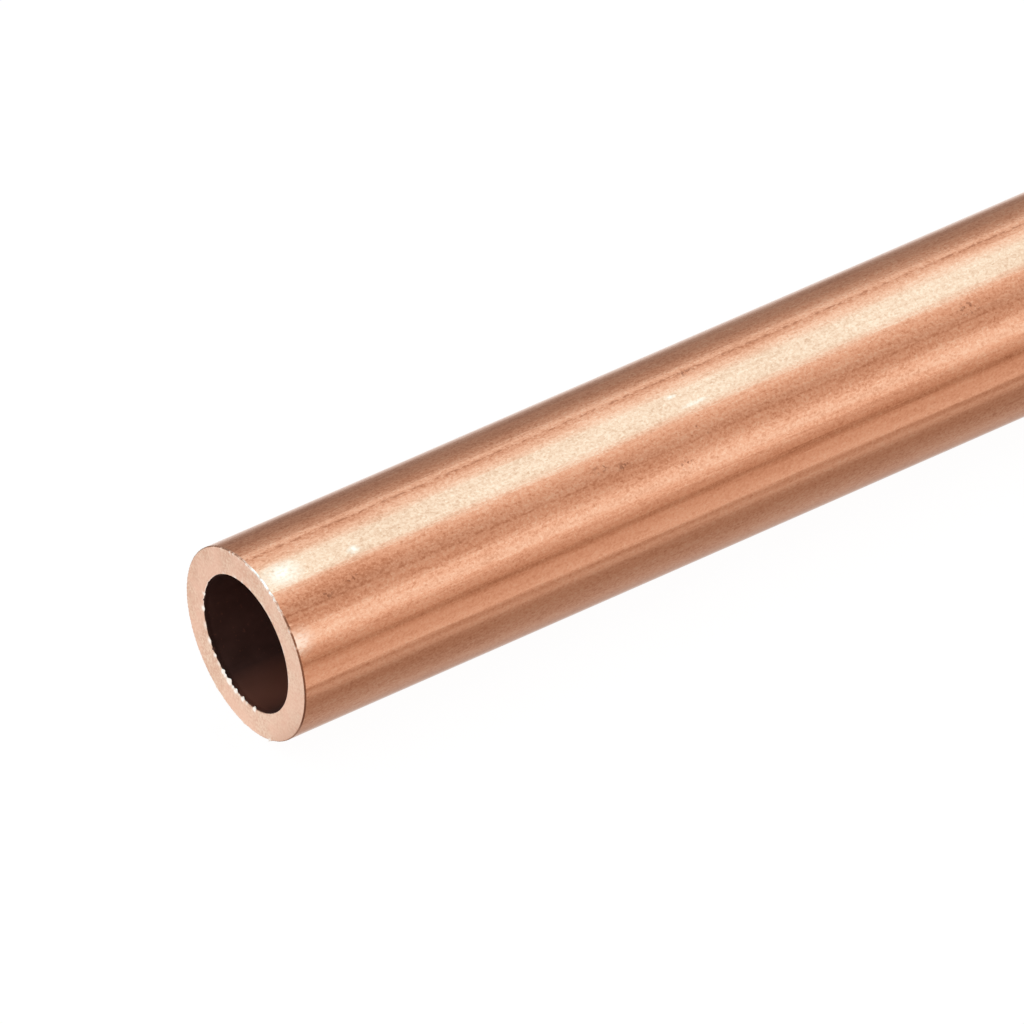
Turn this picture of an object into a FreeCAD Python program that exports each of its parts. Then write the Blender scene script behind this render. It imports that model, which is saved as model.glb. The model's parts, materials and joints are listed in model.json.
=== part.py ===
import FreeCAD, Part
import math
import os

# A straight length of hard-drawn copper pipe, sawn square at both ends.
# The pipe lies along X, with its axis through the origin and its middle at X = 0.

# Driving dimensions of the stock, in millimetres
outside_diameter = 7.0
wall_thickness = 1.0
pipe_length = 200.0

# How the saw and a light rub leave the edges of each end
rim_rounding = 0.08
bore_chamfer = 0.05

# Sizes that follow from them
outside_radius = outside_diameter / 2
bore_radius = outside_radius - wall_thickness
half_length = pipe_length / 2

pipe_axis = FreeCAD.Vector(1, 0, 0)
mid_length = FreeCAD.Vector(0, 0, 0)


def section_point(along, from_axis):
    """A point of the wall's lengthwise section, by its place along the pipe and its distance from the axis."""
    return FreeCAD.Vector(along, 0, from_axis)


def sawn_end(side):
    """The edges of one end of the section, from the bore to the outside wall. side is -1 or 1."""
    cut = side * half_length
    bore_wall = section_point(cut - side * bore_chamfer, bore_radius)
    face_inner = section_point(cut, bore_radius + bore_chamfer)
    face_outer = section_point(cut, outside_radius - rim_rounding)
    outer_wall = section_point(cut - side * rim_rounding, outside_radius)

    # The rounding of the rim is a quarter circle, so its middle is at 45 degrees
    short_of_corner = rim_rounding * (1 - math.cos(math.pi / 4))
    rim_middle = section_point(cut - side * short_of_corner, outside_radius - short_of_corner)

    return [
        Part.LineSegment(bore_wall, face_inner).toShape(),
        Part.LineSegment(face_inner, face_outer).toShape(),
        Part.Arc(face_outer, rim_middle, outer_wall).toShape(),
    ]


def wall_section():
    """The closed lengthwise section of the wall above the axis, with both sawn ends."""
    bore_line = Part.LineSegment(
        section_point(-half_length + bore_chamfer, bore_radius),
        section_point(half_length - bore_chamfer, bore_radius),
    ).toShape()
    outside_line = Part.LineSegment(
        section_point(-half_length + rim_rounding, outside_radius),
        section_point(half_length - rim_rounding, outside_radius),
    ).toShape()
    outline = sawn_end(-1) + [outside_line] + sawn_end(1)[::-1] + [bore_line]
    return Part.Face(Part.Wire(outline))


def copper_pipe():
    """The pipe: its wall section turned once round the axis."""
    return wall_section().revolve(mid_length, pipe_axis, 360)


def plain_tube_volume():
    """The volume of the wall before its edges are softened, to compare with the solid's."""
    return math.pi * (outside_radius**2 - bore_radius**2) * pipe_length


os.makedirs("parts", exist_ok=True)
pipe = copper_pipe()
pipe.exportStep("parts/copper_pipe.step")
print("copper_pipe", pipe.ShapeType, "valid", pipe.isValid(), "volume", round(pipe.Volume, 2),
      "plain tube", round(plain_tube_volume(), 2))
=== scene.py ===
"""A length of drawn copper pipe with sawn ends, in a light tent on a white floor.

The pipe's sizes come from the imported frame. Lengths are in metres and angles in degrees, unless a name or a
comment says otherwise. The pipe lies along X. Places round it are clock angles, from +Y through +Z.
"""

import json
import math

import bpy
import numpy as np
from bpy.props import FloatProperty, FloatVectorProperty, IntProperty, PointerProperty
from mathutils import Matrix, Vector


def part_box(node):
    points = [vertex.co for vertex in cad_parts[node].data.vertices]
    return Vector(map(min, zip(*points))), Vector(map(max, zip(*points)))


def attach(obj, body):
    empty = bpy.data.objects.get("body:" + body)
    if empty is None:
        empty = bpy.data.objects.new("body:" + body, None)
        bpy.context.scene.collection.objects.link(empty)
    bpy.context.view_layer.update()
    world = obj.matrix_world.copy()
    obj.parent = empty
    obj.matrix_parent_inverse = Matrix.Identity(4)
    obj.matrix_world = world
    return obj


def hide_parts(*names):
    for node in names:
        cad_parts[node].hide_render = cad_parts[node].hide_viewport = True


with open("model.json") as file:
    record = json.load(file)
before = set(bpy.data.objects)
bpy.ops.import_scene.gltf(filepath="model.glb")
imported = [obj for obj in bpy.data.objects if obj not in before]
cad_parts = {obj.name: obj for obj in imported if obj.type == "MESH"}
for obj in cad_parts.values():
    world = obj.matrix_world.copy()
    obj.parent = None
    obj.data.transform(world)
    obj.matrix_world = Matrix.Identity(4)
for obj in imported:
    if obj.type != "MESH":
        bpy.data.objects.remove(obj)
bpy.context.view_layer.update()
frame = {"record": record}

bl_info = {
    "name": "Drawn Copper Pipe",
    "version": (1, 0, 0),
    "blender": (4, 5, 0),
    "location": "3D View > Sidebar > Copper Pipe",
    "description": "Makes a length of drawn copper pipe with sawn ends, and the light tent round it",
    "category": "Add Mesh",
}

MM = 0.001

# The frame's own sizes. Its pipe has flats, so its box is a little narrower than the round wall.
PIPE_NODE = "copper_pipe"
PIPE_LOW, PIPE_HIGH = (Vector(corner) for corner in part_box(PIPE_NODE))
MOUNTS = {mount["name"]: mount for mount in frame["record"]["mounts"]}
OUTSIDE_RADIUS = min(PIPE_HIGH.y, PIPE_HIGH.z)
BORE_RADIUS = MOUNTS["bore_near_end"]["dims"]["r_mm"] * MM

# Painted light on the sawn edges, as a value at each point of the skin: 1 is near-white, on burrs that the
# saw smeared and partly a painted highlight, and on stretches of the edges a painted highlight; -1 is painted
# brown shade beside the rim
SMEAR_AND_LIGHT = "smear_and_light"

# Finishes of the pipe's skin, in the order of its material slots
DRAWN, SAWN, BORE = range(3)

# Burrs that the saw left on the near end, as (clock angle, width in degrees, height in mm).
# A negative height is a nick.
NEAR_BORE_BURRS = [
    (-101.0, 3.2, 0.100), (-90.5, 2.4, 0.025), (-85.0, 3.0, 0.100), (-80.0, 2.0, 0.018),
    (-75.5, 3.6, 0.080), (-71.5, 2.0, 0.040), (-66.0, 4.6, 0.140), (-60.5, 2.2, 0.050),
    (-57.0, 3.2, 0.100), (-50.0, 4.0, 0.024), (-43.0, 3.0, 0.045), (-38.0, 1.6, -0.050),
    (-31.0, 5.0, 0.045), (-18.0, 6.0, 0.025), (-3.0, 5.0, 0.045), (5.5, 1.8, -0.050),
    (12.0, 3.0, 0.034), (28.0, 2.2, -0.030), (60.0, 3.0, 0.015), (76.0, 5.0, 0.024),
    (86.0, 2.6, 0.030), (90.0, 1.5, -0.040), (96.5, 2.2, 0.034), (113.0, 7.0, 0.018),
    (124.0, 6.0, 0.020), (130.0, 1.5, -0.040), (144.0, 1.5, -0.050), (150.0, 9.0, 0.014),
    (157.0, 1.5, -0.040), (178.0, 8.0, 0.010),
]
NEAR_RIM_BURRS = [
    (58.0, 1.4, 0.015), (66.0, 1.4, 0.020), (75.0, 1.6, 0.045), (78.5, 1.6, 0.040),
    (84.0, 2.2, 0.020), (91.5, 2.0, 0.050), (96.0, 7.0, 0.030), (104.0, 5.0, 0.026),
    (111.0, 6.0, 0.034), (115.5, 2.2, 0.060), (120.0, 2.4, 0.050), (125.5, 3.0, 0.100),
    (129.0, 1.6, 0.040), (136.5, 1.4, -0.030), (139.0, 2.0, 0.080), (149.0, 1.8, 0.040),
    (-114.0, 2.2, 0.090), (-88.0, 3.0, 0.015), (-60.0, 3.0, 0.018),
]

# The stretches of each end's rim that carry a painted highlight and painted brown shade, as clock angles from
# 0 to 360.
# The bore's broken edge carries a painted highlight from 0 up to the angle below.
HIGHLIT_RIM = (84.0, 130.0)
SHADED_RIM = (126.0, 206.0)
BORE_HIGHLIGHT_END = 55.0

# How far a burr pushes the skin, as shares of its height. At the bore's edge it goes inwards and back from
# the face, and at the rim out past the face and the wall.
LIP_INWARDS, LIP_BACK = 0.8, 0.5
RIM_FORWARD, RIM_OUTWARDS = 0.8, 0.6

# The rim's painted highlight and shade set in over this share of its rounding, beside the face
TONE_SETS_IN = 0.3

# Where the plain wall starts, in burr spreads behind the rim, and the plain bore, in times the wall's start
WALL_START = 12
BORE_START = 3

# Waves round the pipe: the fine unevenness of its edges, the breaks in the rim's bright smear, and what the
# die leaves in the wall
RAGGED_WAVES = (40, 55, 71, 90, 113, 140)
BROKEN_WAVES = (13, 23, 37, 53, 79)
DIE_WAVES = (5, 7, 9, 12, 14, 17, 21, 26, 33, 41, 52, 66)

# Lines that the die drew along the wall, as (clock angle, width in mm, how dark, how broken).
# The first three are those that show in front. The first, wide and faint, is painted soft shade round the
# second.
DRAW_MARKS_AND_SHADE = [
    (89.5, 0.14, 0.25, 0.5), (89.5, 0.10, 0.9, 1.0), (131.0, 0.08, 0.7, 0.5), (15.0, 0.05, 0.4, 0.6),
    (-70.0, 0.06, 0.4, 0.5), (-125.0, 0.05, 0.3, 0.8),
]

# How grainy the wall is round the pipe, as (clock angle, share)
GRAINY = [
    (-180, 0.65), (-165, 0.85), (85, 1.0), (99, 0.76), (116, 0.76), (124, 1.0), (140, 1.0), (163, 0.58),
    (180, 0.65),
]

# Patches on the wall, as (mm from the near end, clock angle, length along the pipe and width round it).
# The length and width are in mm.
PITTED = [
    (13.1, 125, 0.8, 0.5), (13.9, 129, 0.7, 0.5), (16.1, 142, 1.0, 0.4), (17.0, 126, 0.12, 0.5),
    (17.1, 130, 0.7, 0.3), (17.9, 91, 1.0, 0.4), (28.2, 125, 1.2, 0.7), (1.9, 129, 0.6, 0.4),
    (3.0, 126, 0.8, 0.5),
]
# Pale patches. Those at clock 146 and 148, by the rim, are rubbed by the saw; those at clock 103 to 112 are
# painted highlight, whitening the softbox's reflection
RUBBED_AND_HIGHLIGHT_PATCHES = [
    (0.9, 107, 1.8, 1.2), (3.6, 111, 0.6, 0.4), (0.3, 146, 1.4, 1.3), (0.2, 148, 1.0, 0.9),
    (17.4, 112, 1.3, 0.2), (16.8, 103, 0.5, 0.2),
]
# Patches darker near the near end. The one at clock 97 is painted shade that narrows the highlight's edge
# there
DARKER_NEAR_END = [(3.0, 66, 16, 2.6), (3.5, 124, 9, 1.2), (3.0, 97, 8, 0.8)]

# How far the tent's cloth lies above the floor, how many corners its arch has, and what a warmth of 1 takes
# from its green and blue
CLOTH_LIFT = 0.01 * MM
ARCH_CORNERS = 65
WARM_GREEN, WARM_BLUE = 0.17, 0.25


class PipeSizes(bpy.types.PropertyGroup):
    """How finely the pipe is turned, and how its ends are left by the saw."""

    corners_at_ends: IntProperty(
        name="Corners at the Ends",
        description="Corners round the pipe at each sawn end. The wall and the bore have half as many",
        default=1024, min=64, step=2)
    wall_rings: IntProperty(
        name="Rings on the Wall", description="Rings along the drawn wall", default=40, min=4)
    bore_rings: IntProperty(
        name="Rings in the Bore", description="Rings along the bore", default=8, min=2)
    rim_rounding: FloatProperty(
        name="Rim Rounding", description="Radius of the outer edge of each sawn end",
        default=0.038 * MM, unit="LENGTH", precision=6)
    bore_chamfer: FloatProperty(
        name="Bore Chamfer", description="Width of the broken edge of the bore",
        default=0.022 * MM, unit="LENGTH", precision=6)
    bore_lip: FloatProperty(
        name="Bore Lip", description="How far the saw pushed the edge of the bore inwards",
        default=0.016 * MM, unit="LENGTH", precision=6)
    burr_room: FloatProperty(
        name="Burr Room",
        description="How far each sawn face stands back, so that its burrs end within the pipe's length",
        default=0.1 * MM, unit="LENGTH", precision=6)
    burr_spread: FloatProperty(
        name="Burr Spread", description="How far from its edge a burr reaches over the face and the wall",
        default=0.06 * MM, unit="LENGTH", precision=6)
    lip_thickness: FloatProperty(
        name="Lip Thickness", description="How thick the burrs at the bore's edge are",
        default=0.035 * MM, unit="LENGTH", precision=6)
    smear_spread: FloatProperty(
        name="Smear Spread",
        description="How far from the bore's edge the metal round a burr is smeared bright",
        default=0.085 * MM, unit="LENGTH", precision=6)
    bright_burr: FloatProperty(
        name="Bright Burr", description="Height at which a burr is smeared bright",
        default=0.035 * MM, unit="LENGTH", precision=6)
    raggedness: FloatProperty(
        name="Raggedness", description="Height of the fine unevenness of both edges",
        default=0.003 * MM, unit="LENGTH", precision=6)
    draw_depth: FloatProperty(
        name="Draw Line Depth", description="How deep the die's long waves lie in the wall",
        default=0.0012 * MM, unit="LENGTH", precision=6)


class DrawnFinish(bpy.types.PropertyGroup):
    """The finish of the drawn wall."""

    copper: FloatVectorProperty(
        name="Copper", description="Mean colour of the bright drawn wall", subtype="COLOR", size=3,
        default=(0.90, 0.513, 0.338), min=0, max=1)
    light_copper: FloatVectorProperty(
        name="Light Copper", description="Colour of the brightest grain", subtype="COLOR", size=3,
        default=(1.0, 0.685, 0.49), min=0, max=1)
    dark_copper: FloatVectorProperty(
        name="Dark Copper", description="Colour of the darkest grain, where the wall has begun to tarnish",
        subtype="COLOR", size=3, default=(0.66, 0.32, 0.187), min=0, max=1)
    pit_brown: FloatVectorProperty(
        name="Pit Brown", description="Colour of pits and of the die's dark lines", subtype="COLOR", size=3,
        default=(0.38, 0.18, 0.11), min=0, max=1)
    # Partly rubbed metal and partly a painted highlight
    rubbed_and_highlight_copper: FloatVectorProperty(
        name="Rubbed Copper", description="Colour of the small patches that are rubbed nearly white",
        subtype="COLOR", size=3, default=(1.0, 0.80, 0.65), min=0, max=1)
    roughness: FloatProperty(
        name="Roughness", description="Mean roughness of the drawn wall", default=0.10, min=0, max=1,
        subtype="FACTOR")
    grain_size: FloatProperty(
        name="Grain Size", description="Width of the fine grain of the drawn wall",
        default=0.065 * MM, unit="LENGTH", precision=6)
    grain_depth: FloatProperty(
        name="Grain Depth", description="Height of the fine grain", default=0.002 * MM, unit="LENGTH",
        precision=6)
    line_depth: FloatProperty(
        name="Line Depth", description="Height of the fine lines along the wall", default=0.003 * MM,
        unit="LENGTH", precision=6)
    drift_depth: FloatProperty(
        name="Drift Depth", description="Height of the slow waves that bend the reflections",
        default=0.008 * MM, unit="LENGTH", precision=6)
    streak_depth: FloatProperty(
        name="Streak Depth", description="Height of the short streaks that break up the reflections' edges",
        default=0.006 * MM, unit="LENGTH", precision=6)


class SawnFinish(bpy.types.PropertyGroup):
    """The finish of the sawn ends and of the bore."""

    fresh_copper: FloatVectorProperty(
        name="Fresh Copper", description="Brightest colour of the freshly cut metal",
        subtype="COLOR", size=3, default=(0.86, 0.64, 0.49), min=0, max=1)
    dull_copper: FloatVectorProperty(
        name="Dull Copper", description="Darkest colour of the freshly cut metal",
        subtype="COLOR", size=3, default=(0.715, 0.432, 0.303), min=0, max=1)
    face_roughness: FloatProperty(
        name="Face Roughness", description="Mean roughness of the sawn faces", default=0.42, min=0, max=1,
        subtype="FACTOR")
    rosy_copper: FloatVectorProperty(
        name="Rosy Copper", description="Colour of the faces' rosier patches", subtype="COLOR", size=3,
        default=(0.87, 0.55, 0.41), min=0, max=1)
    # Near-white of the burrs that the saw smeared, and of the painted highlights on the edges
    smear_and_highlight_copper: FloatVectorProperty(
        name="Smeared Copper", description="Colour of burrs and edges that the saw smeared bright",
        subtype="COLOR", size=3, default=(1.0, 0.93, 0.85), min=0, max=1)
    smeared_roughness: FloatProperty(
        name="Smeared Roughness", description="Roughness of the smeared metal", default=0.3, min=0, max=1,
        subtype="FACTOR")
    # Painted shade: the colour of the dark line beside the rim
    rim_shade_brown: FloatVectorProperty(
        name="Rim Brown", description="Colour of the thin dark line beside the rim",
        subtype="COLOR", size=3, default=(0.32, 0.15, 0.09), min=0, max=1)
    bore_brown: FloatVectorProperty(
        name="Bore Brown", description="Colour of the dull bore", subtype="COLOR", size=3,
        default=(0.225, 0.108, 0.088), min=0, max=1)
    # Painted light along the bore's bottom, and the colour of the bore's lighter specks
    bore_lit_bottom_and_specks: FloatVectorProperty(
        name="Rubbed Bore", description="Colour of the bottom of the bore, where it is rubbed",
        subtype="COLOR", size=3, default=(0.55, 0.22, 0.15), min=0, max=1)
    bore_metal: FloatProperty(
        name="Bore Metal", description="How much of the bore shows as metal. The rest is a dull film",
        default=0.75, min=0, max=1, subtype="FACTOR")
    bore_roughness: FloatProperty(
        name="Bore Roughness", description="Roughness of the bore", default=0.5, min=0, max=1,
        subtype="FACTOR")
    relief_depth: FloatProperty(
        name="Relief Depth", description="Height of the fine relief of the sawn faces and the bore",
        default=0.002 * MM, unit="LENGTH", precision=6)


class LightTent(bpy.types.PropertyGroup):
    """The tent of cloth round the pipe, open at both ends, and the lights behind it."""

    softbox_level: FloatProperty(
        name="Softbox Level", description="Brightness of the cloth under the softbox overhead",
        default=1.08, min=0)
    reflector_level: FloatProperty(
        name="Reflector Level", description="Brightness of the cloth at the reflector in front",
        default=1.04, min=0)
    side_level: FloatProperty(
        name="Side Level", description="Brightness of the plain cloth in between", default=0.70, min=0)
    radius: FloatProperty(
        name="Radius", description="Height of the tent's arch", default=1.0, unit="LENGTH")
    half_length: FloatProperty(
        name="Half Length", description="From the middle of the tent to its open ends", default=1.6,
        unit="LENGTH")


class StudioFloor(bpy.types.PropertyGroup):
    """The white floor and the plain room round it."""

    own_white: FloatProperty(
        name="Own White",
        description="The floor's brightness before the room's light is added, which the pipe shades",
        default=0.955, min=0, max=1, subtype="FACTOR")
    shade: FloatProperty(
        name="Shade", description="How much of the room's light the floor gives back", default=0.07,
        min=0, max=1, subtype="FACTOR")
    room_level: FloatProperty(
        name="Room Level", description="Brightness of the room's light on the floor", default=0.9, min=0)
    span: FloatProperty(
        name="Span", description="Length of the floor's sides", default=60.0, unit="LENGTH")


class CameraPlace(bpy.types.PropertyGroup):
    """Where the camera stands and how wide it looks, both from the middle of the near sawn face."""

    azimuth: FloatProperty(
        name="Azimuth", description="Turn of the camera round the pipe, from straight in front",
        default=math.radians(-34.85), subtype="ANGLE", unit="ROTATION")
    elevation: FloatProperty(
        name="Elevation", description="Height of the camera as an angle", default=math.radians(38.76),
        subtype="ANGLE", unit="ROTATION")
    distance: FloatProperty(
        name="Distance", description="From the camera to the near end", default=0.8126, unit="LENGTH")
    picture_width: FloatProperty(
        name="Picture Width", description="Width of what the picture shows at the near end",
        default=34.0 * MM, unit="LENGTH", precision=5)
    aim_right: FloatProperty(
        name="Aim Right", description="How far right of the near end the camera aims", default=8.85 * MM,
        unit="LENGTH", precision=5)
    aim_up: FloatProperty(
        name="Aim Up", description="How far above the near end the camera aims", default=4.385 * MM,
        unit="LENGTH", precision=5)


# Shapes

def clocks(corners):
    """The clock angles of a ring's corners, in radians."""
    return np.arange(corners) * 2 * math.pi / corners


def waves(clock, counts, seed):
    """Smooth noise round the pipe, about -1 to 1. Each count gives one wave of seeded height and start."""
    draw = np.random.default_rng(seed)
    total = np.zeros_like(clock)
    for count in counts:
        total += draw.normal() * np.cos(count * clock + draw.uniform(0, 2 * math.pi))
    return total / math.sqrt(len(counts) / 2)


def burrs(clock, marks):
    """Heights in metres of burrs and nicks round an edge, each a rounded bump."""
    total = np.zeros_like(clock)
    for angle, width, height in marks:
        off = (clock - math.radians(angle) + math.pi) % (2 * math.pi) - math.pi
        total += height * MM * np.exp(-(off / math.radians(width / 2)) ** 2)
    return total


def within(clock, stretch, soft):
    """1 inside a stretch of clock angles and 0 outside. Its soft edges are so many degrees wide."""
    degrees = np.degrees(clock)
    return np.clip(np.minimum(degrees - stretch[0], stretch[1] - degrees) / soft, 0, 1)


def rim_highlight_and_shade(clock, all_round=-0.5, bright=1.3, brown=-0.5):
    """Painted light on the rim: slightly brown shade all round, with one stretch of painted highlight and one
    of brown shade.
    """
    broken = np.clip(0.75 + 0.5 * waves(clock, BROKEN_WAVES, seed=17), 0, 1)
    rim_highlight_stretch = within(clock, HIGHLIT_RIM, soft=8) * broken
    return all_round + bright * rim_highlight_stretch + brown * within(clock, SHADED_RIM, soft=6)


def bore_edge_highlight(clock, all_round=0.2, pale=0.55, soft=10):
    """A painted highlight on the broken edge of the bore: a little all round, and more over its stretch from
    clock angle 0.
    """
    pale_stretch = np.clip((BORE_HIGHLIGHT_END - np.degrees(clock)) / soft, 0, 1)
    return all_round + pale * pale_stretch


def random_burrs(count, tallest, seed):
    """Burrs at seeded places, for an edge that the picture doesn't show."""
    draw = np.random.default_rng(seed)
    return [(draw.uniform(-180, 180), draw.uniform(1.5, 4), tallest * draw.uniform(0.2, 1) ** 2)
            for _ in range(count)]


def draw_waves(along, clock, depth, half_height_at=9):
    """The long shallow waves that the die leaves in the wall. They wander slowly along the pipe.

    The finer a wave is, the lower: those of half_height_at waves round the pipe have half the height.
    """
    draw = np.random.default_rng(31)
    total = np.zeros_like(clock)
    for count in DIE_WAVES:
        start = draw.uniform(0, 2 * math.pi)
        wander = 0.5 * math.sin(along / (draw.uniform(8, 40) * MM) + draw.uniform(0, 6))
        height = draw.normal() * (half_height_at / (half_height_at + count))
        total += height * np.cos(count * clock + start + wander)
    return depth * total


def end_profile(sizes):
    """The lengthwise profile of a sawn end, from the bore over the face to the wall.

    Each point is (depth behind the face, radius, finish of the skin up to it). Beside the edges the points
    lie at shares of a burr's spread, closer together near the edge.
    """
    chamfer, rounding, spread = sizes.bore_chamfer, sizes.rim_rounding, sizes.burr_spread
    wall = wall_radius(sizes)
    mouth = BORE_RADIUS - sizes.bore_lip
    points = [(chamfer + share * spread, BORE_RADIUS, BORE) for share in (9, 4, 2.4)]
    points += [(chamfer + share * spread, mouth, BORE) for share in (1.4, 0.7, 0.15, 0)]
    points += [(chamfer / 2, mouth + chamfer / 2, SAWN), (0, mouth + chamfer, SAWN)]
    points += [(0, mouth + chamfer + share * spread, SAWN) for share in (0.5, 1, 1.6, 2.4, 3.5)]
    points += [(0, BORE_RADIUS + share * (wall - BORE_RADIUS), SAWN) for share in (0.4, 0.6)]
    points += [(0, wall - rounding - share * spread, SAWN) for share in (3.5, 2, 1, 0.4, 0)]
    for turn in (15, 30, 45, 60, 75, 90):
        angle = math.radians(turn)
        points.append((rounding * (1 - math.cos(angle)), wall - rounding * (1 - math.sin(angle)), SAWN))
    points.append((rounding + 0.4 * spread, wall, SAWN))
    points += [(rounding + share * spread, wall, DRAWN) for share in (1.2, 3)]
    return points


def wall_radius(sizes):
    """The drawn wall's mean radius, which leaves room for its waves."""
    return OUTSIDE_RADIUS - 3 * sizes.draw_depth


def near_to(corner, depth, radius, reach):
    """1 at a corner of the profile, falling to 0 away from it."""
    off_depth = (depth - corner[0]) / reach
    off_radius = (radius - corner[1]) / reach
    return math.exp(-off_depth ** 2 - off_radius ** 2)


def end_rings(side, sizes):
    """The rings of one sawn end, from the bore to the drawn wall. side is -1 or 1.

    Each ring is (x, radius, finish, smear and painted light).
    """
    clock = clocks(sizes.corners_at_ends)
    near = side < 0
    end = PIPE_LOW.x if near else PIPE_HIGH.x
    seed = 100 + 10 * side
    lip_burrs = burrs(clock, NEAR_BORE_BURRS if near else random_burrs(16, tallest=0.09, seed=seed + 1))
    lip = lip_burrs + sizes.raggedness * waves(clock, RAGGED_WAVES, seed + 3)
    rim_burrs = burrs(clock, NEAR_RIM_BURRS if near else random_burrs(14, tallest=0.06, seed=seed + 2))
    rim = rim_burrs + sizes.raggedness * waves(clock, RAGGED_WAVES, seed + 4)
    tone = rim_highlight_and_shade(clock)

    mid_chamfer = sizes.bore_chamfer / 2
    lip_corner = (mid_chamfer, BORE_RADIUS - sizes.bore_lip + mid_chamfer)
    rim_inset = sizes.rim_rounding * (1 - math.cos(math.pi / 4))
    rim_corner = (rim_inset, wall_radius(sizes) - rim_inset)
    rim_start = wall_radius(sizes) - sizes.rim_rounding

    rings = []
    for depth, radius, finish in end_profile(sizes):
        at_lip = near_to(lip_corner, depth, radius, sizes.lip_thickness)
        at_rim = near_to(rim_corner, depth, radius, sizes.burr_spread)
        ring_depth = sizes.burr_room + depth + LIP_BACK * lip * at_lip - RIM_FORWARD * rim * at_rim
        ring_radius = radius - LIP_INWARDS * lip * at_lip + RIM_OUTWARDS * rim * at_rim

        # Burrs are painted near-white, partly as a highlight, on the face's side only, since the bore's side
        # reflects the dark bore
        in_bore = depth > sizes.bore_chamfer and finish == BORE
        by_lip = 0 if in_bore else near_to(lip_corner, depth, radius, sizes.smear_spread)
        smear_and_light = np.maximum(lip_burrs * by_lip + rim_burrs * at_rim, 0) / sizes.bright_burr
        # The painted highlight along the bore's broken edge
        if depth == mid_chamfer:
            smear_and_light += bore_edge_highlight(clock)
        # The rim's painted highlight and painted brown shade
        on_rim = (radius - rim_start) / (TONE_SETS_IN * sizes.rim_rounding)
        smear_and_light += tone * min(max(on_rim, 0), 1)
        x = end - side * np.maximum(ring_depth, 0)
        rings.append((x, np.minimum(ring_radius, OUTSIDE_RADIUS), finish, np.clip(smear_and_light, -1, 1)))
    return rings


class PipeMesh:
    """Collects rings round X into one closed skin."""

    def __init__(self):
        self.points = []
        self.smears_and_light = []
        self.rings = []
        self.faces = []
        self.finishes = []

    def ring(self, corners, x, radius, finish, smear_and_light=0.0):
        """Adds a ring. x, radius and the smear and painted light are numbers, or arrays with one value for
        each corner.
        """
        clock = clocks(corners)
        x = np.broadcast_to(x, clock.shape)
        start = sum(len(points) for points in self.points)
        self.points.append(np.stack([x, radius * np.cos(clock), radius * np.sin(clock)], -1))
        self.smears_and_light.append(np.broadcast_to(smear_and_light, clock.shape))
        self.rings.append((start, corners, finish))

    def join(self, one, two):
        """Faces between two rings, which have as many corners, or one twice as many as the other."""
        start_one, corners_one, _ = one
        start_two, corners_two, finish = two
        count = min(corners_one, corners_two)
        for i in range(count):
            j = (i + 1) % count
            if corners_one == corners_two:
                here = (i, j)
                there = (j, i)
            elif corners_one > corners_two:
                here = (2 * i, 2 * i + 1, (2 * i + 2) % corners_one)
                there = (j, i)
            else:
                here = (i, j)
                there = ((2 * i + 2) % corners_two, 2 * i + 1, 2 * i)
            face = [start_one + corner for corner in here] + [start_two + corner for corner in there]
            self.faces.append(face)
            self.finishes.append(finish)

    def make(self, name):
        """The mesh, with the last ring joined to the first."""
        for number, ring in enumerate(self.rings):
            self.join(self.rings[number - 1], ring)
        mesh = bpy.data.meshes.new(name)
        mesh.from_pydata(np.concatenate(self.points).tolist(), [], self.faces)
        mesh.polygons.foreach_set("material_index", self.finishes)
        mesh.attributes.new(SMEAR_AND_LIGHT, "FLOAT", "POINT").data.foreach_set("value", np.concatenate(self.smears_and_light))
        mesh.shade_smooth()
        mesh.update()
        return mesh


def pipe_mesh(sizes):
    """The whole pipe as one closed skin: near end, drawn wall, far end and bore, in that order."""
    skin = PipeMesh()
    for ring in end_rings(-1, sizes):
        skin.ring(sizes.corners_at_ends, *ring)

    corners = sizes.corners_at_ends // 2
    clock = clocks(corners)
    end_depth = sizes.burr_room + sizes.rim_rounding + WALL_START * sizes.burr_spread
    for x in np.linspace(PIPE_LOW.x + end_depth, PIPE_HIGH.x - end_depth, sizes.wall_rings):
        radius = wall_radius(sizes) + draw_waves(x, clock, sizes.draw_depth)
        skin.ring(corners, x, np.minimum(radius, OUTSIDE_RADIUS), DRAWN)

    # The far end's rings come in reverse, so the skin up to each has the finish of the ring before it
    far_end = end_rings(1, sizes)[::-1]
    finishes = [DRAWN] + [finish for _, _, finish, _ in far_end[:-1]]
    for (x, radius, _, smear_and_light), finish in zip(far_end, finishes):
        skin.ring(sizes.corners_at_ends, x, radius, finish, smear_and_light)

    bore_depth = BORE_START * end_depth
    for x in np.linspace(PIPE_HIGH.x - bore_depth, PIPE_LOW.x + bore_depth, sizes.bore_rings):
        skin.ring(corners, x, BORE_RADIUS, BORE)
    return skin.make("copper_pipe_skin")


# Materials

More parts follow.
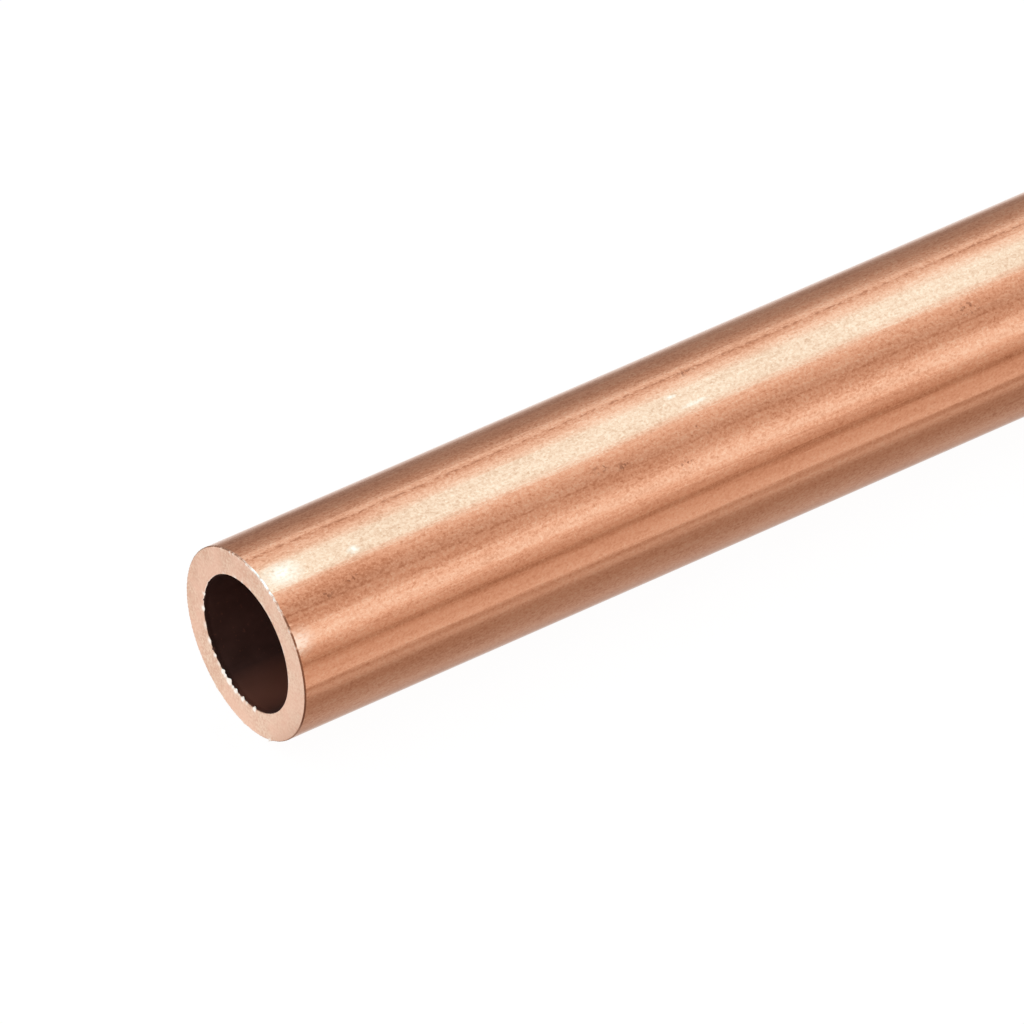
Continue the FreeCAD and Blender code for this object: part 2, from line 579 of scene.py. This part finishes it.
class Nodes:
    """Adds and links shader nodes in a node tree."""

    def __init__(self, tree):
        self.tree = tree
        tree.nodes.clear()

    def add(self, kind, **settings):
        """A new node with the given settings."""
        node = self.tree.nodes.new(kind)
        for name, value in settings.items():
            setattr(node, name, value)
        return node

    def feed(self, socket, value):
        """Gives a socket a number or colour, or links it to another node's output."""
        if isinstance(value, bpy.types.NodeSocket):
            self.tree.links.new(value, socket)
        else:
            socket.default_value = value

    def math(self, operation, *values):
        """A Math node's result."""
        node = self.add("ShaderNodeMath", operation=operation)
        for socket, value in zip(node.inputs, values):
            self.feed(socket, value)
        return node.outputs[0]

    def sum_of(self, *shares):
        """The sum of (value, share) pairs, each value times its share."""
        total = self.math("MULTIPLY", *shares[0])
        for value, share in shares[1:]:
            total = self.math("MULTIPLY_ADD", value, share, total)
        return total

    def stretched(self, place, stretch):
        """Places in mm, with X scaled by the stretch: a small one draws a pattern out along the pipe."""
        mapping = self.add("ShaderNodeMapping")
        self.feed(mapping.inputs["Vector"], place)
        mapping.inputs["Scale"].default_value = (stretch / MM, 1 / MM, 1 / MM)
        return mapping.outputs["Vector"]

    def noise(self, place, stretch, per_mm, detail=2.0, roughness=0.5):
        """Smooth noise, with so many cells for each mm."""
        places = self.stretched(place, stretch)
        node = self.add("ShaderNodeTexNoise")
        self.feed(node.inputs["Vector"], places)
        node.inputs["Scale"].default_value = per_mm
        node.inputs["Detail"].default_value = detail
        node.inputs["Roughness"].default_value = roughness
        return node.outputs["Fac"]

    def cells(self, place, stretch, per_mm):
        """A random value, 0 to 1, for each small cell of the metal."""
        places = self.stretched(place, stretch)
        node = self.add("ShaderNodeTexVoronoi")
        self.feed(node.inputs["Vector"], places)
        node.inputs["Scale"].default_value = per_mm
        parts = self.add("ShaderNodeSeparateColor")
        self.feed(parts.inputs[0], node.outputs["Color"])
        return parts.outputs[0]

    def axes(self, place):
        """The X, Y and Z of a place."""
        node = self.add("ShaderNodeSeparateXYZ")
        self.feed(node.inputs[0], place)
        return node.outputs["X"], node.outputs["Y"], node.outputs["Z"]

    def remap(self, value, low, high, to_low=0.0, to_high=1.0):
        """Maps a value from one range to another, clamped."""
        node = self.add("ShaderNodeMapRange")
        for socket, x in zip(node.inputs, (value, low, high, to_low, to_high)):
            self.feed(socket, x)
        return node.outputs["Result"]

    def ramp(self, value, stops):
        """A colour from (position, colour) stops."""
        node = self.add("ShaderNodeValToRGB")
        self.feed(node.inputs[0], value)
        elements = node.color_ramp.elements
        while len(elements) < len(stops):
            elements.new(0.5)
        for element, (position, colour) in zip(elements, stops):
            element.position = position
            element.color = rgba(colour)
        return node.outputs["Color"]

    def blend(self, share, one, two):
        """A colour between two others."""
        node = self.add("ShaderNodeMixRGB")
        for socket, value in zip(node.inputs, (share, one, two)):
            self.feed(socket, value)
        return node.outputs[0]

    def bump(self, height, distance, normal=None):
        """A normal bent by a height that reaches over a distance."""
        node = self.add("ShaderNodeBump")
        node.inputs["Distance"].default_value = distance
        self.feed(node.inputs["Height"], height)
        if normal is not None:
            self.feed(node.inputs["Normal"], normal)
        return node.outputs["Normal"]


def rgba(colour):
    """A colour with full alpha."""
    return (*colour, 1.0)


def scaled(colour, share):
    """A colour made darker by a share."""
    return [share * part for part in colour]


def new_nodes(owner):
    """The emptied node tree of a material or world."""
    owner.use_nodes = True
    return Nodes(owner.node_tree)


def metal(name):
    """A new metal material: itself, its nodes, its shader and the place on the pipe in metres."""
    material = bpy.data.materials.new(name)
    nodes = new_nodes(material)
    shader = nodes.add("ShaderNodeBsdfPrincipled")
    shader.inputs["Metallic"].default_value = 1.0
    output = nodes.add("ShaderNodeOutputMaterial")
    nodes.feed(output.inputs["Surface"], shader.outputs[0])
    place = nodes.add("ShaderNodeTexCoord").outputs["Object"]
    return material, nodes, shader, place


def wall_places(nodes, place):
    """How far each place is along the pipe from its near end, in metres, and its clock angle in radians."""
    x, y, z = nodes.axes(place)
    clock = nodes.math("ARCTAN2", z, y)
    return nodes.math("SUBTRACT", x, PIPE_LOW.x), clock


def draw_marks_and_shade(nodes, place, clock, wander=0.012, shake=0.008):
    """How dark the die's marks, and the painted soft shade round one of them, make each place, up to about 1.
    They wander and shake by so many radians.
    """
    slow = nodes.noise(place, stretch=0.12, per_mm=0.15, detail=2)
    clock = nodes.math("ADD", clock, nodes.remap(slow, 0.3, 0.7, -wander, wander))
    quick = nodes.noise(place, stretch=0.8, per_mm=4.0, detail=2, roughness=0.6)
    clock = nodes.math("ADD", clock, nodes.remap(quick, 0.3, 0.7, -shake, shake))
    dots = nodes.noise(place, stretch=0.5, per_mm=9.0, detail=2, roughness=0.6)
    total = 0.0
    for angle, width, dark, broken in DRAW_MARKS_AND_SHADE:
        off = nodes.math("ABSOLUTE", nodes.math("SUBTRACT", clock, math.radians(angle)))
        line = nodes.remap(off, 0.0, width * MM / OUTSIDE_RADIUS, dark, 0.0)
        here = nodes.remap(dots, 0.44, 0.56, 1 - broken, 1.0)
        total = nodes.math("MULTIPLY_ADD", line, here, total)
    return total


def patches(nodes, along, clock, spots):
    """1 in the middle of each patch of the wall, falling to 0 at its edge."""
    total = 0.0
    for far, angle, length, width in spots:
        middle = math.radians(angle)
        round_pipe = width * MM / OUTSIDE_RADIUS
        # Both ways the patch reaches from -1 to 1
        off = nodes.add("ShaderNodeCombineXYZ")
        nodes.feed(off.inputs["X"], nodes.remap(along, (far - length) * MM, (far + length) * MM, -2.0, 2.0))
        nodes.feed(off.inputs["Y"], nodes.remap(clock, middle - round_pipe, middle + round_pipe, -2.0, 2.0))
        away = nodes.add("ShaderNodeVectorMath", operation="LENGTH")
        nodes.feed(away.inputs[0], off.outputs[0])
        total = nodes.math("ADD", total, nodes.remap(away.outputs["Value"], 0.0, 1.0, 1.0, 0.0))
    return total


def from_middle(nodes, noise):
    """Noise moved to lie about 0."""
    return nodes.math("SUBTRACT", noise, 0.5)


def drawn_copper(finish):
    """The drawn wall: fine grain and clouds of tarnish, lines along it, pits, rubbed patches, and patches of
    painted highlight and painted shade.
    """
    material, nodes, shader, place = metal("drawn_copper")
    along, clock = wall_places(nodes, place)
    grainy = nodes.ramp(nodes.remap(clock, -math.pi, math.pi),
                        [((angle + 180) / 360, (share, share, share)) for angle, share in GRAINY])

    def layer(noise):
        """Noise about 0, stronger where the wall is grainy."""
        return nodes.math("MULTIPLY", from_middle(nodes, noise), grainy)

    # The grain is sharp cells and softer noise, with a few dark flecks
    sharp = nodes.cells(place, stretch=0.85, per_mm=MM / finish.grain_size)
    soft = nodes.noise(place, stretch=0.85, per_mm=0.75 * MM / finish.grain_size, detail=2, roughness=0.7)
    flecks = nodes.remap(nodes.cells(place, stretch=0.8, per_mm=9.0), 0.88, 1.0)
    grain = nodes.sum_of((from_middle(nodes, sharp), 0.25), (from_middle(nodes, soft), 0.75),
                         (flecks, -0.12))
    grain = nodes.math("MULTIPLY", grain, grainy)

    # From the finest to the broadest, with what darkens the wall last
    lines = layer(nodes.noise(place, stretch=0.02, per_mm=7.0, detail=3, roughness=0.65))
    mottle = layer(nodes.noise(place, stretch=0.6, per_mm=4.0, detail=2))
    clouds = layer(nodes.noise(place, stretch=0.4, per_mm=0.8, detail=4))
    # Patches darker near the near end, one of them painted shade
    tarnish = patches(nodes, along, clock, DARKER_NEAR_END)
    # The die's lines, with painted soft shade round one of them
    marks = draw_marks_and_shade(nodes, place, clock)
    tone = nodes.sum_of((grain, 1.0), (lines, 0.33), (mottle, 0.2), (clouds, 0.36),
                        (tarnish, -0.12), (marks, -0.26))
    colour = nodes.ramp(nodes.remap(tone, -0.3, 0.3),
                        [(0, finish.dark_copper), (0.5, finish.copper), (1, finish.light_copper)])

    # Pale patches, partly rubbed and partly painted highlight
    specks = nodes.remap(nodes.noise(place, stretch=0.7, per_mm=9.0, detail=1), 0.3, 0.6, 0.35, 1.0)
    white = nodes.math("MULTIPLY", patches(nodes, along, clock, RUBBED_AND_HIGHLIGHT_PATCHES), specks)
    colour = nodes.blend(white, colour, rgba(finish.rubbed_and_highlight_copper))
    pocks = nodes.remap(nodes.cells(place, stretch=1.0, per_mm=13.0), 0.66, 0.8)
    pits = nodes.math("MULTIPLY", patches(nodes, along, clock, PITTED), pocks)
    dark = nodes.math("MAXIMUM", pits, nodes.remap(marks, 0.45, 1.1, 0.0, 0.45))
    nodes.feed(shader.inputs["Base Color"], nodes.blend(dark, colour, rgba(finish.pit_brown)))

    rough = nodes.remap(nodes.sum_of((clouds, 1.0), (grain, 0.5)), -0.15, 0.15,
                        finish.roughness - 0.03, finish.roughness + 0.05)
    nodes.feed(shader.inputs["Roughness"], rough)

    drift = nodes.noise(place, stretch=0.06, per_mm=0.45, detail=1)
    streaks = nodes.noise(place, stretch=0.12, per_mm=2.0, detail=2)
    normal = nodes.bump(drift, finish.drift_depth)
    normal = nodes.bump(streaks, finish.streak_depth, normal)
    normal = nodes.bump(lines, finish.line_depth, normal)
    normal = nodes.bump(grain, finish.grain_depth, normal)
    nodes.feed(shader.inputs["Normal"], normal)
    return material


def smeared(nodes, finish, colour, roughness):
    """The colour and roughness of sawn metal, with near-white burrs and painted highlights, and painted brown
    shade beside the rim.
    """
    smear_and_light = nodes.add("ShaderNodeAttribute", attribute_name=SMEAR_AND_LIGHT).outputs["Fac"]
    bright = nodes.math("MAXIMUM", smear_and_light, 0.0)
    brown = nodes.math("MAXIMUM", nodes.math("MULTIPLY", smear_and_light, -1.0), 0.0)
    colour = nodes.blend(brown, colour, rgba(finish.rim_shade_brown))
    colour = nodes.blend(bright, colour, rgba(finish.smear_and_highlight_copper))
    smoother = finish.smeared_roughness - finish.face_roughness
    return colour, nodes.sum_of((roughness, 1.0), (bright, smoother))


def sawn_copper(finish):
    """The sawn faces: paler fresh metal with a fine mottle, and painted shade that makes them a little darker
    towards +Y and the top.
    """
    material, nodes, shader, place = metal("sawn_copper")
    mottle = nodes.noise(place, stretch=1.0, per_mm=10.0, detail=3, roughness=0.75)
    patchy = nodes.noise(place, stretch=1.0, per_mm=2.5, detail=2)
    rosy = nodes.noise(place, stretch=1.0, per_mm=0.7, detail=3)
    _, y, z = nodes.axes(place)
    # The y and z shares are painted shade, darker towards +Y and the top
    tone = nodes.sum_of(
        (from_middle(nodes, mottle), 1.6), (from_middle(nodes, patchy), 0.55),
        (from_middle(nodes, rosy), 0.1), (y, -0.08 / OUTSIDE_RADIUS), (z, -0.04 / OUTSIDE_RADIUS))
    colour = nodes.ramp(nodes.remap(tone, -0.2, 0.2), [(0, finish.dull_copper), (1, finish.fresh_copper)])
    colour = nodes.blend(nodes.remap(rosy, 0.4, 0.6, 0.0, 0.6), colour, rgba(finish.rosy_copper))

    fine = nodes.noise(place, stretch=1.0, per_mm=12.0, detail=2)
    roughness = nodes.remap(fine, 0.3, 0.7, finish.face_roughness - 0.05, finish.face_roughness + 0.05)
    colour, roughness = smeared(nodes, finish, colour, roughness)
    nodes.feed(shader.inputs["Base Color"], colour)
    nodes.feed(shader.inputs["Roughness"], roughness)
    nodes.feed(shader.inputs["Normal"], nodes.bump(fine, finish.relief_depth))
    return material


def bore_copper(finish):
    """The bore: dull and brown, with painted shade just inside its mouth and painted light along its bottom.
    """
    material, nodes, shader, place = metal("bore_copper")
    shader.inputs["Metallic"].default_value = finish.bore_metal
    x, _, z = nodes.axes(place)
    # Painted light along the bore's bottom
    bottom = nodes.remap(z, -BORE_RADIUS, -0.87 * BORE_RADIUS, 1.0, 0.0)
    # Painted shade just inside the mouth
    inwards = nodes.math("SUBTRACT", PIPE_HIGH.x, nodes.math("ABSOLUTE", x))
    painted_shade_at_mouth = nodes.remap(inwards, 0.6 * MM, 2.2 * MM, 0.38, 0.0)
    stains = nodes.noise(place, stretch=0.6, per_mm=1.2, detail=3, roughness=0.6)
    specks = nodes.remap(nodes.noise(place, stretch=1.0, per_mm=8.0, detail=1), 0.66, 0.74, 0.0, 0.35)
    colour = nodes.ramp(nodes.remap(stains, 0.35, 0.65),
                        [(0, scaled(finish.bore_brown, 0.85)), (1, scaled(finish.bore_brown, 1.1))])
    colour = nodes.blend(nodes.math("MAXIMUM", bottom, specks), colour, rgba(finish.bore_lit_bottom_and_specks))
    colour = nodes.blend(painted_shade_at_mouth, colour, rgba((0, 0, 0)))

    roughness = nodes.remap(stains, 0.3, 0.7, finish.bore_roughness - 0.04, finish.bore_roughness + 0.04)
    colour, roughness = smeared(nodes, finish, colour, roughness)
    nodes.feed(shader.inputs["Base Color"], colour)
    nodes.feed(shader.inputs["Roughness"], roughness)
    nodes.feed(shader.inputs["Normal"], nodes.bump(stains, finish.relief_depth))
    return material


# Studio

def tent_bands(tent):
    """The cloth's brightness round the pipe, as (angle, brightness, warmth).

    The angle goes round the pipe's axis from straight in front, over the top. Below 0 and past 180 the
    cloth lies on the floor. A warmth of 0 is neutral, 2 is as warm as near bare copper, and -2 is cool.
    """
    soft, fill, side = tent.softbox_level, tent.reflector_level, tent.side_level
    return [
        (-175, 0.35, 1.3), (-161, 1.04, 0.0), (-78, 1.04, 0.0), (-57, 0.52, 1.05), (-48, 0.53, 1.0),
        (-37.5, 0.43, 1.4), (-33, 0.40, 1.65), (-28.5, 0.43, 1.55), (-24.6, 0.64, 1.1), (-20.4, 0.46, 1.95),
        (-18.4, 0.83, 0.95), (-13.5, 0.72, 1.4), (-6.9, 0.67, 1.5), (-3.6, 0.53, 1.95), (-1.8, 0.34, 2.3),
        (0, 0.60, 1.75), (10, 0.72, 1.35), (15, 0.96, 0.95), (22, fill, 0.15), (31, 1.0, 0.65),
        (42.5, side, 1.4), (58, 0.64, 1.2), (70, 0.82, 1.1), (80, 0.96, 0.6), (88, soft, -2.1),
        (113, soft, -2.05), (120.5, 1.04, -0.4), (128.5, 0.98, 0.15), (133.5, 0.76, 1.1), (140, 0.97, 0.2),
        (151, 0.58, 1.1), (168, 0.40, 1.25),
    ]


def tent_cloth(tent):
    """The lit cloth of the tent."""
    material = bpy.data.materials.new("tent_cloth")
    material.cycles.emission_sampling = "NONE"
    nodes = new_nodes(material)
    _, y, z = nodes.axes(nodes.add("ShaderNodeTexCoord").outputs["Object"])
    angle = nodes.math("ARCTAN2", z, nodes.math("MULTIPLY", y, -1.0))

    # A ramp's colours end at 1, so the strength is twice the softbox's, and the colours are scaled down
    strength = 2 * tent.softbox_level
    stops = []
    for degrees, level, warmth in tent_bands(tent):
        tint = (1.0, 1.0 - WARM_GREEN * warmth, 1.0 - WARM_BLUE * warmth)
        stops.append(((degrees + 180) / 360, scaled(tint, level / strength)))
    colour = nodes.ramp(nodes.remap(angle, -math.pi, math.pi), stops)
    glow = nodes.add("ShaderNodeEmission")
    nodes.feed(glow.inputs["Color"], colour)
    glow.inputs["Strength"].default_value = strength
    output = nodes.add("ShaderNodeOutputMaterial")
    nodes.feed(output.inputs["Surface"], glow.outputs[0])
    return material


def tent_mesh(tent):
    """The tent's sleeve: an arch over the pipe, and the cloth on the floor under it."""
    on_floor = PIPE_LOW.z + CLOTH_LIFT
    profile = [(-tent.radius * math.cos(a), max(tent.radius * math.sin(a), on_floor))
               for a in np.linspace(0, math.pi, ARCH_CORNERS)]
    profile[0] = (-tent.radius, on_floor)
    profile[-1] = (tent.radius, on_floor)
    count = len(profile)
    points = [(x, y, z) for x in (-tent.half_length, tent.half_length) for y, z in profile]
    faces = [(i, (i + 1) % count, count + (i + 1) % count, count + i) for i in range(count)]
    mesh = bpy.data.meshes.new("light_tent")
    mesh.from_pydata(points, [], faces)
    return mesh


def shows_background(nodes):
    """1 for rays that show the white background: straight to the camera, in metal or through glass."""
    path = nodes.add("ShaderNodeLightPath")
    seen = nodes.math("MAXIMUM", path.outputs["Is Camera Ray"], path.outputs["Is Glossy Ray"])
    return nodes.math("MAXIMUM", seen, path.outputs["Is Transmission Ray"])


def studio_world(floor):
    """A white background, and the plain light of the room for everything else."""
    world = bpy.data.worlds.new("studio")
    bpy.context.scene.world = world
    world.cycles.sampling_method = "NONE"
    nodes = new_nodes(world)
    light = nodes.add("ShaderNodeBackground")
    light.inputs["Color"].default_value = rgba((1, 1, 1))
    strength = nodes.remap(shows_background(nodes), 0.0, 1.0, floor.room_level, 1.0)
    nodes.feed(light.inputs["Strength"], strength)
    output = nodes.add("ShaderNodeOutputWorld")
    nodes.feed(output.inputs["Surface"], light.outputs[0])


def floor_material(floor):
    """A white floor that keeps the pipe's shadow."""
    material = bpy.data.materials.new("studio_floor")
    material.cycles.emission_sampling = "NONE"
    nodes = new_nodes(material)
    glow = nodes.add("ShaderNodeEmission")
    nodes.feed(glow.inputs["Strength"], nodes.math("MULTIPLY", shows_background(nodes), floor.own_white))
    matt = nodes.add("ShaderNodeBsdfDiffuse")
    matt.inputs["Color"].default_value = rgba([floor.shade] * 3)
    both = nodes.add("ShaderNodeAddShader")
    nodes.feed(both.inputs[0], glow.outputs[0])
    nodes.feed(both.inputs[1], matt.outputs[0])
    output = nodes.add("ShaderNodeOutputMaterial")
    nodes.feed(output.inputs["Surface"], both.outputs[0])
    return material


def floor_mesh(floor):
    """One large square at the level that the pipe lies on."""
    half = floor.span / 2
    mesh = bpy.data.meshes.new("studio_floor")
    corners = ((-half, -half), (half, -half), (half, half), (-half, half))
    mesh.from_pydata([(x, y, PIPE_LOW.z) for x, y in corners], [], [(0, 1, 2, 3)])
    return mesh


def place_camera(place, face_x):
    """The camera, level, aimed a little right of and above the near face."""
    a, e = place.azimuth, place.elevation
    towards = Vector((math.sin(a) * math.cos(e), -math.cos(a) * math.cos(e), math.sin(e)))
    right = Vector((math.cos(a), math.sin(a), 0))
    up = towards.cross(right)
    aim = Vector((face_x, 0, 0)) + place.aim_right * right + place.aim_up * up
    camera = bpy.data.objects.new("camera", bpy.data.cameras.new("camera"))
    bpy.context.scene.collection.objects.link(camera)
    axes = Matrix((right, up, towards)).transposed()
    camera.matrix_world = Matrix.Translation(aim + place.distance * towards) @ axes.to_4x4()
    camera.data.lens = camera.data.sensor_width * place.distance / place.picture_width
    camera.data.clip_start = 10 * MM
    camera.data.clip_end = 4 * bpy.context.scene.studio_floor.span
    bpy.context.scene.camera = camera


def show(name, mesh, materials):
    """An object with the given mesh and materials, in the scene."""
    for material in materials:
        mesh.materials.append(material)
    thing = bpy.data.objects.new(name, mesh)
    bpy.context.scene.collection.objects.link(thing)
    return thing


class COPPERPIPE_OT_pipe(bpy.types.Operator):
    """Make the pipe with its drawn wall, sawn ends and bore"""

    bl_idname = "copperpipe.pipe"
    bl_label = "Pipe"
    bl_options = {"REGISTER", "UNDO"}

    def execute(self, context):
        scene = context.scene
        # In the order of DRAWN, SAWN and BORE
        finishes = [
            drawn_copper(scene.drawn_finish),
            sawn_copper(scene.sawn_finish),
            bore_copper(scene.sawn_finish),
        ]
        pipe = show("copper_pipe_skin", pipe_mesh(scene.pipe_sizes), finishes)
        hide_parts(PIPE_NODE)
        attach(pipe, "root")
        return {"FINISHED"}


class COPPERPIPE_OT_stage(bpy.types.Operator):
    """Set the floor, the light tent and the camera"""

    bl_idname = "copperpipe.stage"
    bl_label = "Stage"
    bl_options = {"REGISTER", "UNDO"}

    def execute(self, context):
        scene = context.scene
        floor = show("studio_floor", floor_mesh(scene.studio_floor), [floor_material(scene.studio_floor)])
        tent = show("light_tent", tent_mesh(scene.light_tent), [tent_cloth(scene.light_tent)])
        tent.visible_camera = False
        tent.visible_diffuse = False
        tent.visible_transmission = False
        tent.visible_shadow = False
        studio_world(scene.studio_floor)
        place_camera(scene.camera_place, PIPE_LOW.x + scene.pipe_sizes.burr_room)
        scene.view_settings.view_transform = "Standard"
        return {"FINISHED"}


class COPPERPIPE_PT_panel(bpy.types.Panel):
    """Sidebar panel with the pipe's settings"""

    bl_label = "Copper Pipe"
    bl_idname = "COPPERPIPE_PT_panel"
    bl_space_type = "VIEW_3D"
    bl_region_type = "UI"
    bl_category = "Copper Pipe"

    def draw(self, context):
        for group in GROUPS:
            settings = getattr(context.scene, group)
            box = self.layout.box()
            for name in settings.__annotations__:
                box.prop(settings, name)
        self.layout.operator(COPPERPIPE_OT_pipe.bl_idname)
        self.layout.operator(COPPERPIPE_OT_stage.bl_idname)


GROUPS = {
    "pipe_sizes": PipeSizes,
    "drawn_finish": DrawnFinish,
    "sawn_finish": SawnFinish,
    "light_tent": LightTent,
    "studio_floor": StudioFloor,
    "camera_place": CameraPlace,
}
CLASSES = (*GROUPS.values(), COPPERPIPE_OT_pipe, COPPERPIPE_OT_stage, COPPERPIPE_PT_panel)


def register():
    for cls in CLASSES:
        bpy.utils.register_class(cls)
    for name, group in GROUPS.items():
        setattr(bpy.types.Scene, name, PointerProperty(type=group))


def unregister():
    for name in GROUPS:
        delattr(bpy.types.Scene, name)
    for cls in reversed(CLASSES):
        bpy.utils.unregister_class(cls)


def main():
    register()
    bpy.ops.copperpipe.pipe()
    bpy.ops.copperpipe.stage()


if __name__ == "__main__":
    main()
